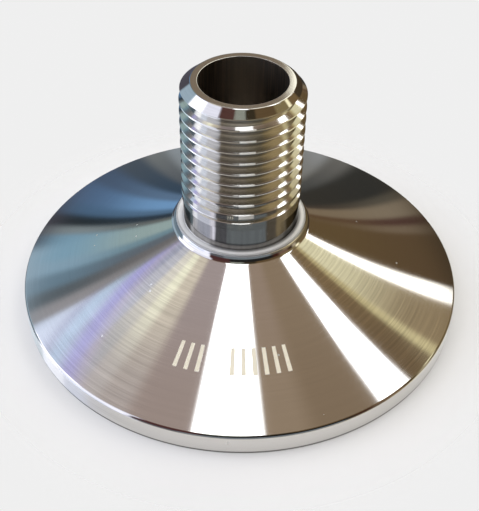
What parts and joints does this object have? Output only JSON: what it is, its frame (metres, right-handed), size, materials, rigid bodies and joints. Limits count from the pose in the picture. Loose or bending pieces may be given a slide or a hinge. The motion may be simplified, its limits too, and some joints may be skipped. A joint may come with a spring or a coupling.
{
  "type": "sanitary clamp threaded adapter",
  "caption": "Turned steel pipe adapter: a wide conical clamp flange with a gasket groove under it, rising to a short neck with a fine male pipe thread and a straight bore through.",
  "frame": {"origin": "centre of the flat clamp face, on the bore's axis", "axes": "+Z along the bore towards the threaded mouth; X and Y are equal, apart from where the thread starts; -Y is the side the picture shows"},
  "size_m": [0.0506, 0.0506, 0.0278],
  "materials": {
    "turned_steel": "finely turned and polished stainless steel"
  },
  "bodies": {
    "root": {"adapter_body": "turned_steel"}
  },
  "joints": []
}
